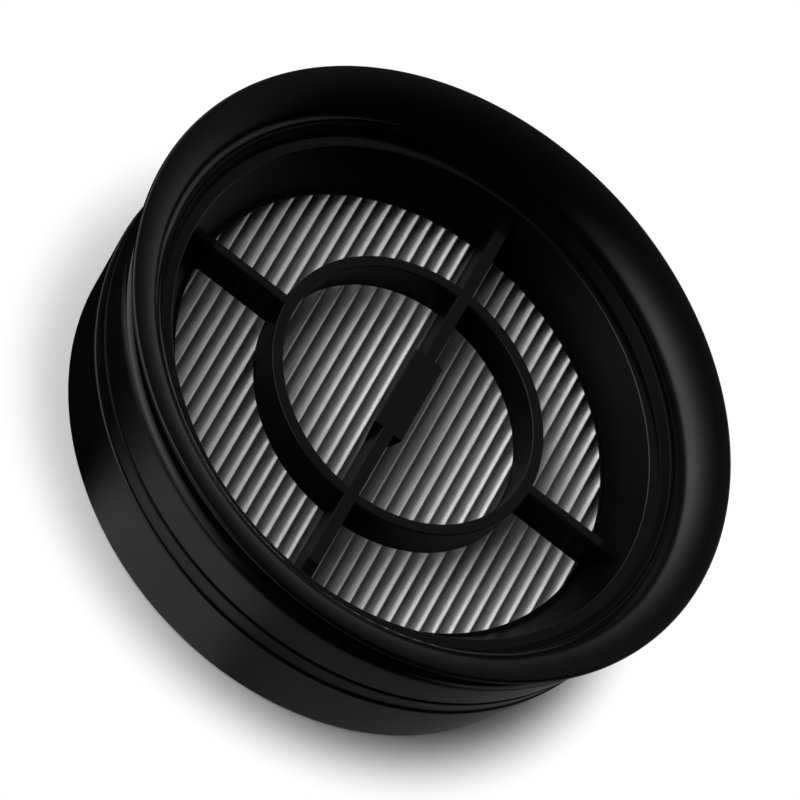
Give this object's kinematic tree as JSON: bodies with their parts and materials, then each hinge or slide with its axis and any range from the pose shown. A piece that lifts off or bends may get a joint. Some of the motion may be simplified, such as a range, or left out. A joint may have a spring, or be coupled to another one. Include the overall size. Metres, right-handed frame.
{
  "type": "vacuum hepa filter",
  "caption": "Round pleated filter cassette for a stick vacuum, with a flared sealing lip, a stepped mouth behind a ring grille with a finger grip, and a tapered black shell.",
  "frame": {"origin": "middle of the flat rear face", "axes": "+Z along the filter's axis towards the flared lip, +Y along the long bar of the grille and the pleats, +X along the two short spokes"},
  "size_m": [0.09, 0.09, 0.028],
  "materials": {
    "frame_plastic": "satin black",
    "shell_plastic": "satin black",
    "lip_rubber": "smooth black",
    "gasket_rubber": "smooth black",
    "media_paper": "matte white fibre",
    "seal_compound": "milky, hot-melt"
  },
  "bodies": {
    "root": {"seal_lip": "lip_rubber", "front_frame": "frame_plastic", "joint_gasket": "gasket_rubber", "rear_shell": "shell_plastic", "pleated_media": "media_paper", "edge_seal": "seal_compound"}
  },
  "joints": []
}
